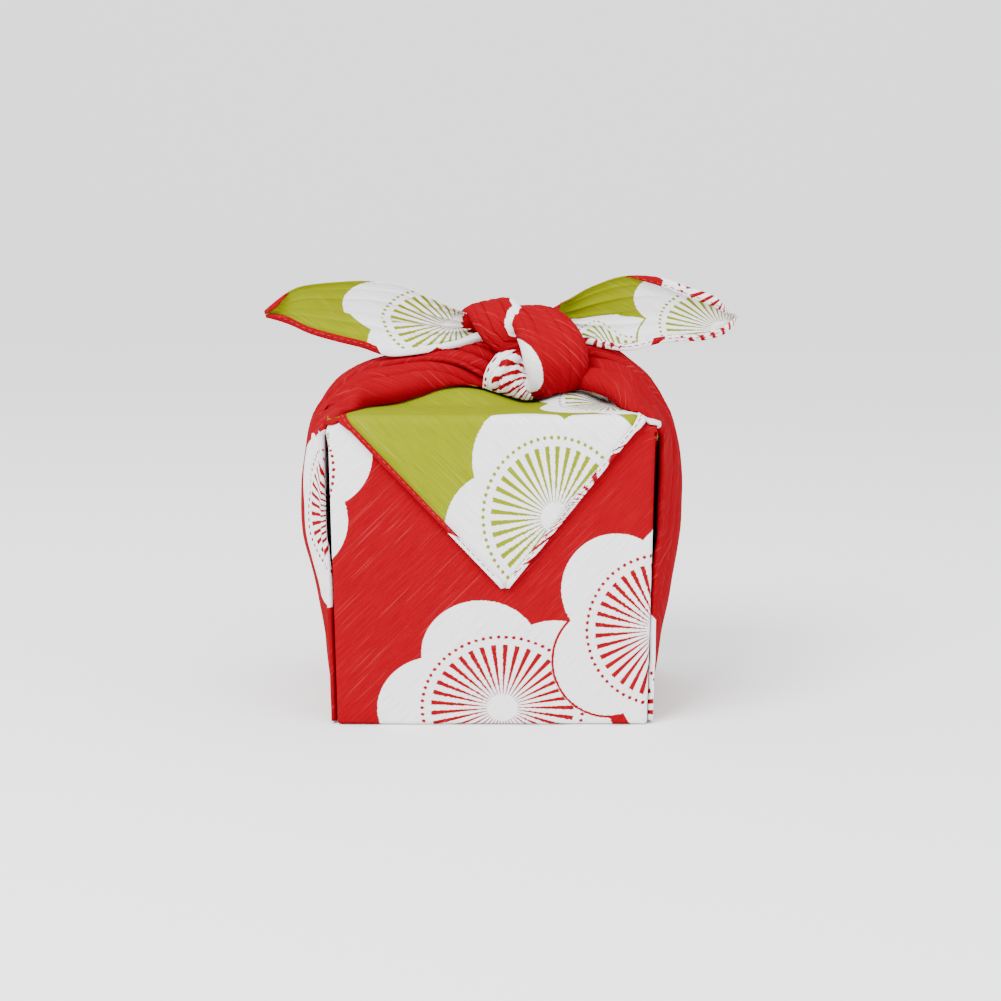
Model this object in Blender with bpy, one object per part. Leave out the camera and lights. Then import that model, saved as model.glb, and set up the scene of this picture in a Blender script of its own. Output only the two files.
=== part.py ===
"""A square wrapping cloth tied round a box that is left out: one hollow solid of draped and knotted cloth.

The cloth lies cornerwise. Its front corner goes up over the top, is folded back and hangs down the front
as a pointed flap. Its left and right corners are gathered at the sides, carried over the top and tied
in a square knot, and their ends stand out as two ears. X is to the right, Y to the back, Z up, in metres.
"""

import math

import bmesh
import bpy
from mathutils import Vector

MM = 0.001

# The wrapped form: the cloth follows a box that is a little wider at its top.
WIDTH_LOW = 103 * MM
WIDTH_TOP = 107 * MM
DEPTH = 100 * MM
HEIGHT = 102.5 * MM
WALL = 2 * MM

# Radii and steps of its upright corners and of its level edges, whose radius shrinks by a share of the inset.
CORNER = 1.8 * MM
CORNER_STEPS = 3
EDGE = 1.8 * MM
EDGE_STEPS = 2
EDGE_SHRINK = 0.5

# The slit between the folded layers at the top of each side, cut from inside the wall to outside it.
SLIT_HIGH = 5 * MM
SLIT_LONG = 92 * MM
SLIT_IN = 8 * MM
SLIT_OUT = 4 * MM

# The flap: where its tip hangs, how far back it is folded, its rows down the front and back over the top.
FLAP_TIP = (4.3 * MM, 46.6 * MM)
FLAP_FOLD_Y = 20 * MM
FLAP_INSET = 5 * MM
FLAP_THICK = 1.1 * MM
FLAP_SINK = 0.5 * MM
FLAP_BLUNT = 0.02
FLAP_DOWN = 8
FLAP_BACK = 4
FLAP_QUARTER = 0.25

# The flap's hem, which takes at most a share of the flap's width near its tip.
HEM_WIDE = 3 * MM
HEM_HIGH = 0.8 * MM
HEM_SHARE = 0.3

# The gathered corners: points over and under a section, the spacing of sections, the steps of the curve between
# two rows, and the pleats' valleys, each with its place across the section, from -1 to 1, and its width.
OVER = 12
UNDER = 5
SECTION_STEP = 4.2 * MM
CURVE_STEPS = 8
VALLEYS = ((-0.5, 0.17), (0.2, 0.2), (0.7, 0.12))

# How square a section's outline is, and its thickness at the edges as a share of that in its middle.
SQUARENESS = 4
EDGE_THICK = 0.1

# Colours of the printed cotton, and the angle in degrees above which an edge is shaded as a fold.
CLOTH_RED = (0.62, 0.015, 0.03, 1)
CLOTH_ROUGH = 0.85
SHARP_ANGLE = 40

# Each row is a section of a gathered corner, in millimetres: its middle x, y, z, its width and thickness, the
# direction that its red face looks in, how far both its edges turn back to the box, how far its lower edge
# alone curls, and its pleats' depth.
COLUMNS = ("x", "y", "z", "wide", "thick", "out_x", "out_y", "out_z", "arch", "curl", "pleat")

LEFT_CORNER = (
    (-50.6, 0.0, 3.0, 96, 2.0, -1.0, 0.0, 0.0, 0.0, 0.0, 0.0),
    (-54.4, 0.0, 13.0, 97, 2.2, -1.0, 0.0, 0.1, 2.6, 0.0, 0.2),
    (-56.4, 0.0, 29.0, 97, 2.6, -1.0, 0.0, 0.1, 4.6, 0.0, 0.6),
    (-59.4, 0.0, 45.0, 96, 3.0, -1.0, 0.0, 0.0, 7.2, 0.0, 1.0),
    (-62.8, 0.0, 60.0, 91, 4.0, -1.0, 0.0, 0.0, 10.0, 0.0, 1.4),
    (-62.4, 0.0, 74.0, 76, 5.6, -1.0, 0.0, 0.1, 9.0, 0.0, 1.7),
    (-60.0, 0.0, 86.0, 54, 8.0, -1.0, 0.0, 0.3, 6.0, 0.0, 1.8),
    (-56.6, 0.0, 96.5, 38, 10.0, -0.9, 0.0, 0.5, 3.0, 0.0, 1.8),
    (-50.4, -0.5, 104.0, 31, 11.5, -0.6, -0.1, 0.8, 1.0, 0.0, 1.8),
    (-42.0, -1.0, 108.8, 28, 12.5, -0.3, -0.1, 1.0, 0.0, 0.0, 1.5),
    (-33.0, -2.0, 110.8, 27, 13.0, -0.1, -0.2, 1.0, 0.0, 0.0, 1.5),
    (-22.0, -2.0, 112.6, 26, 13.0, -0.1, -0.3, 1.0, 0.0, 0.0, 1.4),
    (-12.0, -2.0, 113.2, 24, 12.0, 0.0, -0.6, 0.9, 0.0, 0.0, 1.2),
    (-3.5, -2.5, 112.6, 21, 10.5, 0.0, -0.9, 0.4, 0.0, 0.0, 0.9),
    (4.5, -3.0, 110.6, 19, 9.5, 0.0, -1.0, -0.2, 0.0, 0.0, 0.6),
    (12.0, -4.5, 108.6, 18, 8.5, 0.0, -0.8, -0.6, 0.0, 0.0, 0.4),
    (18.0, -9.0, 107.6, 18, 8.0, 0.1, -0.6, -0.8, 0.0, 0.0, 0.3),
    (21.6, -14.0, 111.6, 20, 8.0, 0.2, -0.8, -0.5, 0.0, 0.0, 0.3),
    (21.4, -16.5, 119.5, 22, 8.5, 0.2, -1.0, 0.0, 0.0, 0.0, 0.4),
    (18.4, -14.5, 126.8, 20, 8.0, 0.1, -0.8, 0.5, 0.0, 0.0, 0.4),
    (13.8, -8.8, 131.4, 17, 7.5, 0.0, -0.3, 1.0, 0.0, 0.0, 0.4),
    (7.6, -2.0, 131.8, 15, 7.0, 0.0, 0.3, 1.0, 0.0, 0.0, 0.4),
    (0.0, 0.5, 129.8, 13, 6.2, 0.0, 0.7, 0.8, 0.0, 0.0, 0.5),
    (-7.0, 0.0, 128.2, 11, 5.0, 0.0, 0.9, 0.5, 0.0, 1.0, 0.5),
    (-13.5, -1.0, 128.2, 13, 3.8, 0.0, 1.0, 0.4, 0.0, 3.0, 0.3),
    (-24.0, -2.0, 129.8, 19, 2.8, 0.0, 1.0, 0.3, 0.0, 5.0, 0.2),
    (-33.0, -2.5, 131.4, 24, 2.4, 0.0, 1.0, 0.3, 0.0, 5.5, 0.0),
    (-42.0, -2.5, 133.2, 23, 2.3, 0.0, 1.0, 0.3, 0.0, 4.5, 0.0),
    (-51.0, -2.0, 134.0, 21, 2.2, 0.0, 1.0, 0.3, 0.0, 3.5, 0.0),
    (-60.0, -1.0, 134.6, 18, 2.2, 0.0, 1.0, 0.3, 0.0, 2.5, 0.0),
    (-67.0, 0.0, 134.8, 14, 2.1, 0.0, 1.0, 0.2, 0.0, 1.5, 0.0),
    (-73.5, 0.5, 133.8, 7.5, 2.0, 0.0, 1.0, 0.2, 0.0, 0.5, 0.0),
    (-78.5, 1.0, 132.6, 2.2, 1.8, 0.0, 1.0, 0.2, 0.0, 0.0, 0.0),
)

RIGHT_CORNER = (
    (50.6, 0.0, 3.0, 96, 2.0, 1.0, 0.0, 0.0, 0.0, 0.0, 0.0),
    (54.6, 0.0, 13.0, 97, 2.2, 1.0, 0.0, 0.1, 2.6, 0.0, 0.2),
    (57.0, 0.0, 29.0, 97, 2.6, 1.0, 0.0, 0.1, 5.2, 0.0, 0.6),
    (60.0, 0.0, 45.0, 96, 3.0, 1.0, 0.0, 0.0, 7.8, 0.0, 1.0),
    (62.0, 0.0, 60.0, 91, 4.0, 1.0, 0.0, 0.0, 9.4, 0.0, 1.4),
    (62.0, 0.0, 74.0, 76, 5.6, 1.0, 0.0, 0.1, 9.0, 0.0, 1.7),
    (60.0, 0.0, 86.0, 54, 8.0, 1.0, 0.0, 0.3, 6.0, 0.0, 1.8),
    (56.6, 0.0, 96.5, 38, 10.0, 0.9, 0.0, 0.5, 3.0, 0.0, 1.8),
    (51.0, -0.5, 104.5, 31, 11.5, 0.7, -0.1, 0.7, 1.0, 0.0, 1.8),
    (44.0, -0.5, 110.4, 28, 12.5, 0.5, -0.1, 0.9, 0.0, 0.0, 1.5),
    (36.0, 0.0, 114.2, 26, 13.0, 0.3, -0.3, 0.9, 0.0, 0.0, 1.4),
    (27.5, 1.0, 115.4, 23, 11.0, 0.1, -0.5, 0.9, 0.0, 0.0, 1.2),
    (18.0, -2.0, 114.6, 20, 9.0, 0.0, -0.9, 0.4, 0.0, 0.0, 0.8),
    (9.5, -9.0, 113.6, 19, 8.0, 0.0, -1.0, 0.0, 0.0, 0.0, 0.5),
    (3.2, -10.5, 110.6, 18, 7.5, -0.3, -0.9, -0.3, 0.0, 0.0, 0.4),
    (-2.4, -4.0, 107.2, 16, 6.0, -0.3, -0.4, -0.9, 0.0, 0.0, 0.3),
    (-6.4, 5.0, 109.6, 16, 6.5, -0.4, 0.7, -0.6, 0.0, 0.0, 0.3),
    (-7.6, 9.6, 118.6, 17, 7.0, -0.3, 1.0, 0.0, 0.0, 0.0, 0.3),
    (-5.6, 7.4, 128.4, 16, 7.0, -0.3, 0.8, 0.6, 0.0, 0.0, 0.3),
    (-1.0, 0.0, 133.6, 16, 7.0, -0.2, 0.0, 1.0, 0.0, 0.0, 0.4),
    (2.0, -7.4, 131.8, 17, 7.5, -0.2, -0.8, 0.6, 0.0, 0.0, 0.4),
    (5.0, -9.4, 127.6, 16, 7.5, -0.2, -1.0, 0.0, 0.0, 0.0, 0.4),
    (11.6, -5.0, 126.0, 14, 7.0, 0.0, -0.6, 0.7, 0.0, 0.0, 0.4),
    (18.4, 0.0, 128.4, 12, 6.0, 0.0, 0.3, 1.0, 0.0, 0.0, 0.5),
    (24.5, 2.0, 130.6, 12, 5.0, 0.0, 0.9, 0.5, 0.0, 1.0, 0.5),
    (30.0, 1.5, 131.4, 16, 3.8, 0.0, 1.0, 0.3, 0.0, 3.0, 0.3),
    (37.0, 0.5, 132.6, 21, 2.9, 0.0, 1.0, 0.3, 0.0, 5.0, 0.2),
    (46.0, -0.5, 133.8, 25, 2.5, 0.0, 1.0, 0.3, 0.0, 5.5, 0.0),
    (56.0, -1.0, 134.6, 23, 2.3, 0.0, 1.0, 0.3, 0.0, 4.5, 0.0),
    (66.0, -1.5, 133.2, 18.5, 2.2, 0.0, 1.0, 0.3, 0.0, 3.0, 0.0),
    (74.0, -1.0, 131.8, 16, 2.1, 0.0, 1.0, 0.3, 0.0, 2.0, 0.0),
    (80.0, -0.5, 131.2, 10, 2.0, 0.0, 1.0, 0.2, 0.0, 1.0, 0.0),
    (84.0, 0.0, 132.6, 2.4, 1.8, 0.0, 1.0, 0.2, 0.0, 0.0, 0.0),
)

# The tight middle of the knot, where the two corners press into each other: middle, half sizes, fineness.
KNOT_MIDDLE = (11 * MM, -2 * MM, 120 * MM)
KNOT_HALF = (15 * MM, 9 * MM, 13.5 * MM)
KNOT_FINE = 2


def clear_scene():
    for thing in list(bpy.data.objects):
        bpy.data.objects.remove(thing, do_unlink=True)


def add_object(name, mesh_builder):
    """A new object whose mesh holds what is in the bmesh, which is then freed."""
    mesh = bpy.data.meshes.new(name)
    mesh_builder.to_mesh(mesh)
    mesh_builder.free()
    made = bpy.data.objects.new(name, mesh)
    bpy.context.scene.collection.objects.link(made)
    return made


def loft(name, rings):
    """A closed skin through rings of points, capped at both ends, with its faces pointing out."""
    skin = bmesh.new()
    rows = [[skin.verts.new(point) for point in ring] for ring in rings]
    around = len(rows[0])
    for low, high in zip(rows, rows[1:]):
        for i in range(around):
            j = (i + 1) % around
            skin.faces.new((low[i], low[j], high[j], high[i]))
    skin.faces.new(rows[0][::-1])
    skin.faces.new(rows[-1])
    bmesh.ops.recalc_face_normals(skin, faces=skin.faces)
    bmesh.ops.triangulate(skin, faces=skin.faces)
    return add_object(name, skin)


def half_width(z, inset=0.0):
    """Half the wrapped form's width at a height."""
    share = min(max(z / HEIGHT, 0), 1)
    return (WIDTH_LOW + (WIDTH_TOP - WIDTH_LOW) * share) / 2 - inset


def box_ring(z, inset):
    """A rectangle with round corners at one height."""
    half_x = half_width(z, inset)
    half_y = DEPTH / 2 - inset
    ring = []
    for quarter, (side_x, side_y) in enumerate(((1, 1), (-1, 1), (-1, -1), (1, -1))):
        for step in range(CORNER_STEPS + 1):
            angle = math.pi / 2 * (quarter + step / CORNER_STEPS)
            ring.append(
                (
                    side_x * (half_x - CORNER) + CORNER * math.cos(angle),
                    side_y * (half_y - CORNER) + CORNER * math.sin(angle),
                    z,
                )
            )
    return ring


def box_skin(name, inset):
    """The wrapped form with rounded edges, moved in by inset on every side."""
    edge = EDGE - inset * EDGE_SHRINK
    low, high = inset, HEIGHT - inset
    turns = []
    for step in range(EDGE_STEPS + 1):
        angle = math.pi / 2 * step / EDGE_STEPS
        turns.append((edge * (1 - math.cos(angle)), inset + edge * (1 - math.sin(angle))))
    rings = [box_ring(low + rise, tuck) for rise, tuck in turns]
    rings.append(box_ring(HEIGHT / 2, inset))
    rings += [box_ring(high - rise, tuck) for rise, tuck in turns[::-1]]
    return loft(name, rings)


def boolean(target, other, operation):
    """Cuts or joins with the EXACT solver, and removes the other shape."""
    change = target.modifiers.new(operation.lower(), "BOOLEAN")
    change.operation = operation
    change.solver = "EXACT"
    change.use_self = operation == "UNION"
    change.object = other
    bpy.context.view_layer.update()
    evaluated = target.evaluated_get(bpy.context.evaluated_depsgraph_get())
    mesh = bpy.data.meshes.new_from_object(evaluated)
    target.modifiers.clear()
    target.data = mesh
    bpy.data.objects.remove(other, do_unlink=True)


def block(name, low, high):
    """A plain block between two corners, for cutting."""
    shape = bmesh.new()
    bmesh.ops.create_cube(shape, size=1)
    for vertex in shape.verts:
        vertex.co = Vector(
            (a + b) / 2 + v * (b - a) for a, b, v in zip(low, high, vertex.co)
        )
    return add_object(name, shape)


def wrapped_walls():
    """The cloth on the box's six sides, hollow, with the slits between its layers."""
    walls = box_skin("walls", 0.0)
    boolean(walls, box_skin("inside", WALL), "DIFFERENCE")
    top = HEIGHT - WALL
    for side in (-1, 1):
        ends = sorted((side * (half_width(HEIGHT) - SLIT_IN), side * (half_width(HEIGHT) + SLIT_OUT)))
        cutter = block(
            "slit",
            (ends[0], -SLIT_LONG / 2, top - SLIT_HIGH),
            (ends[1], SLIT_LONG / 2, top),
        )
        boolean(walls, cutter, "DIFFERENCE")
    return walls


def flap_rows():
    """The flap's rows from its tip to its fold: left and right ends, and the place of its middle layer."""
    half_top = half_width(HEIGHT)
    front = -DEPTH / 2
    tip_x, tip_z = FLAP_TIP
    rows = []
    for step in range(FLAP_DOWN + 1):
        share = FLAP_BLUNT + (1 - FLAP_BLUNT) * step / FLAP_DOWN
        left = tip_x + (FLAP_INSET - half_top - tip_x) * share
        right = tip_x + (half_top - FLAP_INSET - tip_x) * share
        z = tip_z + (HEIGHT - EDGE - tip_z) * share
        rows.append((left, right, Vector((0, front, z)), Vector((0, -1, 0))))
    for step in range(FLAP_BACK + 1):
        y = front + EDGE + (FLAP_FOLD_Y - front - EDGE) * step / FLAP_BACK
        rows.append((EDGE - half_top, half_top - EDGE, Vector((0, y, HEIGHT)), Vector((0, 0, 1))))
    return rows


def flap_sheet():
    """The folded-back corner: over the top and down the front to its point, with a raised hem."""
    sheet = bmesh.new()
    layers = ([], [])
    for left, right, place, out in flap_rows():
        hem = min(HEM_WIDE, HEM_SHARE * (right - left))
        step = hem + HEM_HIGH
        inner = (left + step, left + FLAP_QUARTER * (right - left) + step / 2)
        low_x = (left, left + hem, *inner, (left + right) / 2)
        xs = low_x + tuple(left + right - x for x in low_x[-2::-1])
        for layer, row_list in enumerate(layers):
            row = []
            for index, x in enumerate(xs):
                raised = HEM_HIGH if index in (0, 1, len(xs) - 2, len(xs) - 1) else 0
                rise = FLAP_THICK + raised if layer else -FLAP_SINK
                row.append(sheet.verts.new(place + Vector((x, 0, 0)) + out * rise))
            row_list.append(row)
    low, high = layers
    for i in range(len(low) - 1):
        for j in range(len(low[0]) - 1):
            for grid in layers:
                sheet.faces.new((grid[i][j], grid[i + 1][j], grid[i + 1][j + 1], grid[i][j + 1]))
        for j in (0, -1):
            sheet.faces.new((low[i][j], high[i][j], high[i + 1][j], low[i + 1][j]))
    for i in (0, -1):
        for j in range(len(low[0]) - 1):
            sheet.faces.new((low[i][j], low[i][j + 1], high[i][j + 1], high[i][j]))
    bmesh.ops.recalc_face_normals(sheet, faces=sheet.faces)
    bmesh.ops.triangulate(sheet, faces=sheet.faces)
    return add_object("flap", sheet)


def smooth_rows(table):
    """The table's rows joined by a smooth curve and spaced evenly along it."""
    knots = [dict(zip(COLUMNS, row)) for row in table]
    dense = []
    for i in range(len(knots) - 1):
        before = knots[max(i - 1, 0)]
        start, end = knots[i], knots[i + 1]
        after = knots[min(i + 2, len(knots) - 1)]
        for step in range(CURVE_STEPS):
            t = step / CURVE_STEPS
            dense.append(
                {
                    key: 0.5
                    * (
                        2 * start[key]
                        + (end[key] - before[key]) * t
                        + (2 * before[key] - 5 * start[key] + 4 * end[key] - after[key]) * t**2
                        + (3 * start[key] - before[key] - 3 * end[key] + after[key]) * t**3
                    )
                    for key in COLUMNS
                }
            )
    dense.append(knots[-1])
    kept, travelled = [dense[0]], 0.0
    for a, b in zip(dense, dense[1:]):
        travelled += math.dist((a["x"], a["y"], a["z"]), (b["x"], b["y"], b["z"])) * MM
        if travelled >= SECTION_STEP:
            kept.append(b)
            travelled = 0.0
    kept[-1] = dense[-1]
    return kept


def pleat_depth(u):
    """How deep the pleats' valleys are at a place across a section, from 0 to 1."""
    return max(math.exp(-(((u - place) / width) ** 2)) for place, width in VALLEYS)


def section_ring(row, along):
    """One section: a pleated pad, or a thin curled sheet, square to the direction that it runs in."""
    out = Vector((row["out_x"], row["out_y"], row["out_z"]))
    out = (out - along * out.dot(along)).normalized()
    across = along.cross(out)
    middle = Vector((row["x"], row["y"], row["z"])) * MM
    half, thick = row["wide"] * MM / 2, row["thick"] * MM / 2

    def place(u, high):
        turned = row["arch"] * u**SQUARENESS + row["curl"] * min(u * lower_edge(across), 0) ** 2
        return middle + across * half * u + out * (high - turned * MM)

    def inside(u):
        return max(1 - u**SQUARENESS, 0)

    def pad(u):
        return thick * (math.sqrt(inside(u)) + EDGE_THICK)

    over = [-math.cos(math.pi * i / OVER) for i in range(OVER + 1)]
    under = [math.cos(math.pi * (i + 1) / (UNDER + 1)) for i in range(UNDER)]
    ring = [place(u, pad(u) - row["pleat"] * MM * pleat_depth(u) * inside(u)) for u in over]
    ring += [place(u, -pad(u)) for u in under]
    return ring


def lower_edge(across):
    """1 where across points up, so that the lower edge is at the negative end, and -1 where it points down."""
    return 1 if across.z >= 0 else -1


def gathered_corner(name, table):
    """A corner of the cloth, gathered from the side, carried over the top, through the knot and out to its tip."""
    rows = smooth_rows(table)
    points = [Vector((row["x"], row["y"], row["z"])) for row in rows]
    rings = []
    for i, row in enumerate(rows):
        along = (points[min(i + 1, len(points) - 1)] - points[max(i - 1, 0)]).normalized()
        rings.append(section_ring(row, along))
    return loft(name, rings)


def knot_middle():
    """The pressed folds inside the knot, so that no sealed gap is left between the two corners."""
    ball = bmesh.new()
    bmesh.ops.create_icosphere(ball, subdivisions=KNOT_FINE, radius=1)
    for vertex in ball.verts:
        vertex.co = Vector(
            middle + half * v for middle, half, v in zip(KNOT_MIDDLE, KNOT_HALF, vertex.co)
        )
    return add_object("middle", ball)


def cloth_material():
    """Printed cotton, red side out."""
    cloth = bpy.data.materials.new("printed cotton")
    cloth.use_nodes = True
    shader = cloth.node_tree.nodes["Principled BSDF"]
    shader.inputs["Base Color"].default_value = CLOTH_RED
    shader.inputs["Roughness"].default_value = CLOTH_ROUGH
    shader.inputs["Metallic"].default_value = 0.0
    return cloth


def main():
    clear_scene()
    wrap = wrapped_walls()
    wrap.name = "wrap_cloth"
    boolean(wrap, flap_sheet(), "UNION")
    tied = gathered_corner("left", LEFT_CORNER)
    boolean(tied, gathered_corner("right", RIGHT_CORNER), "UNION")
    boolean(tied, knot_middle(), "UNION")
    boolean(tied, box_skin("clear", WALL), "DIFFERENCE")
    boolean(wrap, tied, "UNION")
    wrap.data.materials.clear()
    wrap.data.materials.append(cloth_material())
    wrap.data.shade_smooth()
    wrap.data.set_sharp_from_angle(angle=math.radians(SHARP_ANGLE))


main()
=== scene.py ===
import math

import bpy
import numpy as np
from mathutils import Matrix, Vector, noise


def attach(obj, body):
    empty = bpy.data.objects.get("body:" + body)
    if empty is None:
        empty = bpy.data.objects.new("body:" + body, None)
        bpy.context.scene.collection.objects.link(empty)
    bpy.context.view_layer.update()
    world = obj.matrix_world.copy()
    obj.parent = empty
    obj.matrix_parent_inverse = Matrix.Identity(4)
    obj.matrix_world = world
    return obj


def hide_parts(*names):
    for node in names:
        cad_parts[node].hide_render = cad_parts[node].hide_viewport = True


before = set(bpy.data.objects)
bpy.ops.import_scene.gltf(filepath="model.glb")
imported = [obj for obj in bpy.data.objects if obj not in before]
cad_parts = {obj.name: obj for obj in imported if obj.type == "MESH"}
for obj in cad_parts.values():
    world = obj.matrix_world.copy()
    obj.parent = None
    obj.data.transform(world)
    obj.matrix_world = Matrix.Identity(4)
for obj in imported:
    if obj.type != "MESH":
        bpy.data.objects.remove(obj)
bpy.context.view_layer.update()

mm = 0.001

# Lengths in the dictionaries are millimetres. The flat cloth has its own map: p runs to the right corner
# and q to the back corner, both from the middle of the base.

body = {  # the cloth on the box's faces
    "widthLow": 103.0,
    "widthTop": 107.0,
    "depth": 100.0,
    "height": 102.5,
    "fold": 1.3,  # radius of a fold over an edge
    "foldBehind": 72.5,  # the flap is folded back this far behind the front edge
    "tuckedFrom": 88.0,  # the back corner ends this far in front of the back edge
    "sideReach": 38.0,  # how far the layers turn on to the sides
    "thick": 0.4,
    "halfDiagonal": 353.5,  # of the flat square
    "leastReach": 1.5,  # on to the sides
    "baseReach": 3.5,
    "narrowHem": 0.8,  # border of the layers whose hem doesn't show
    "stillEdge": 12.0,  # the faces are even this near the upright edges
}
flap = {  # the front corner, hanging down the front
    "tipX": 4.3,
    "tipZ": 46.6,
    "inset": 5.0,
    "blunt": 1.2,
    "hem": 2.3,
    "lift": 0.9,
    "fold": 2.6,  # radius of its fold over the top edge
    "topLess": 4.0,  # on the sides the folded top is this much shorter than the layer under it
}
routeSteps = {"flap": 2.2, "face": 2.6, "hidden": 4.0}  # spacing of the strip's rows
gap = {  # how far the middle of each layer lies outside the box's faces
    "wall": -0.25,
    "back": -0.9,
    "under": -0.25,
    "flap": 0.55,
    "sideWall": -0.25,
    "sideBack": -0.9,
    "sideUnder": 0.3,
    "sideFlap": 0.85,
}

columns = (
    "x", "y", "z", "wide", "thick", "outX", "outY", "outZ",
    "arch", "curl", "pleat", "tuckLow", "tuckHigh", "flare",
)
leftRun = (  # sections of the left corner, from the base's edge to the ear's tip
    (-50.6, 0.0, 0.6, 96, 2.0, -1.0, 0.0, 0.0, 0.0, 0.0, 0.2, 40, 40, 0),
    (-54.4, 0.0, 13.0, 97, 2.2, -1.0, 0.0, 0.1, 2.6, 0.0, 0.5, 40, 40, 0),
    (-56.4, 0.0, 29.0, 97, 2.6, -1.0, 0.0, 0.1, 4.6, 0.0, 1.0, 40, 40, 0),
    (-59.4, 0.0, 45.0, 96, 3.0, -1.0, 0.0, 0.0, 7.2, 0.0, 1.4, 40, 40, 0),
    (-62.8, 0.0, 60.0, 91, 4.0, -1.0, 0.0, 0.0, 10.0, 0.0, 2.0, 38, 38, 0.02),
    (-62.4, 0.0, 74.0, 76, 5.6, -1.0, 0.0, 0.1, 9.0, 0.0, 2.8, 32, 32, 0.2),
    (-60.0, 0.0, 86.0, 54, 8.0, -1.0, 0.0, 0.3, 6.0, 0.0, 4.0, 24, 24, 0.7),
    (-56.6, 0.0, 96.5, 38, 10.0, -0.9, 0.0, 0.5, 3.0, 0.0, 5.0, 17, 17, 1.35),
    (-50.4, -0.5, 104.0, 31, 11.5, -0.6, -0.1, 0.8, 1.0, 0.0, 5.4, 14, 14, 1.7),
    (-42.0, -1.0, 108.8, 28, 12.5, -0.3, -0.1, 1.0, 0.0, 0.0, 5.6, 13, 13, 1.15),
    (-33.0, -2.0, 110.8, 27, 13.0, -0.1, -0.2, 1.0, 0.0, 0.0, 5.6, 13, 13, 0.5),
    (-22.0, -2.0, 112.6, 26, 13.0, -0.1, -0.3, 1.0, 0.0, 0.0, 5.4, 12, 12, 0.15),
    (-12.0, -2.0, 113.2, 24, 12.0, 0.0, -0.6, 0.9, 0.0, 0.0, 4.6, 11, 11, 0),
    (-3.5, -2.5, 112.6, 21, 10.5, 0.0, -0.9, 0.4, 0.0, 0.0, 3.6, 10, 10, 0),
    (4.5, -3.0, 110.6, 19, 9.5, 0.0, -1.0, -0.2, 0.0, 0.0, 2.6, 9, 9, 0),
    (12.0, -4.5, 108.6, 18, 8.5, 0.0, -0.8, -0.6, 0.0, 0.0, 1.6, 8, 8, 0),
    (18.0, -9.0, 107.6, 18, 8.0, 0.1, -0.6, -0.8, 0.0, 0.0, 1.0, 8, 8, 0),
    (21.6, -14.0, 111.6, 20, 8.0, 0.2, -0.8, -0.5, 0.0, 0.0, 0.5, 9, 9, 0),
    (21.4, -16.5, 119.5, 22, 8.5, 0.2, -1.0, 0.0, 0.0, 0.0, 0.44, 10, 10, 0),
    (18.4, -14.5, 126.8, 20, 8.0, 0.1, -0.8, 0.5, 0.0, 0.0, 0.55, 9, 9, 0),
    (13.8, -8.8, 131.4, 17, 7.5, 0.0, -0.3, 1.0, 0.0, 0.0, 0.77, 8, 8, 0),
    (7.6, -2.0, 131.8, 15, 7.0, 0.0, 0.3, 1.0, 0.0, 0.0, 0.99, 7, 7, 0),
    (0.0, 0.5, 129.8, 13, 6.2, 0.0, 0.7, 0.8, 0.0, 0.0, 2.0, 5, 4, 0),
    (-7.0, 0.0, 128.2, 11, 5.0, 0.0, 0.9, 0.5, 0.0, 1.0, 1.8, 3, 1.5, 0),
    (-13.5, -1.0, 128.2, 13, 3.8, 0.0, 1.0, 0.4, 0.0, 3.0, 1.2, 1.9, -1.5, 0),
    (-24.0, -2.0, 129.8, 19, 2.8, 0.0, 1.0, 0.3, 0.0, 5.0, 0.8, 1.9, -5, 0),
    (-33.0, -2.5, 131.4, 24, 2.4, 0.0, 1.0, 0.3, 0.0, 5.5, 0.5, 1.9, -7, 0),
    (-42.0, -2.5, 133.2, 23, 2.3, 0.0, 1.0, 0.3, 0.0, 4.5, 0.4, 1.9, -7, 0),
    (-51.0, -2.0, 134.0, 21, 2.2, 0.0, 1.0, 0.3, 0.0, 3.5, 0.3, 1.9, -6, 0),
    (-60.0, -1.0, 134.6, 18, 2.2, 0.0, 1.0, 0.3, 0.0, 2.5, 0.2, 1.9, -5, 0),
    (-67.0, 0.0, 134.8, 14, 2.1, 0.0, 1.0, 0.2, 0.0, 1.5, 0.2, 1.9, -1.5, 0),
    (-73.5, 0.5, 133.8, 7.5, 2.0, 0.0, 1.0, 0.2, 0.0, 0.5, 0.1, 2.4, 1.5, 0),
    (-78.5, 1.0, 132.6, 2.2, 1.8, 0.0, 1.0, 0.2, 0.0, 0.0, 0.0, 0.8, 0.8, 0),
)
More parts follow.
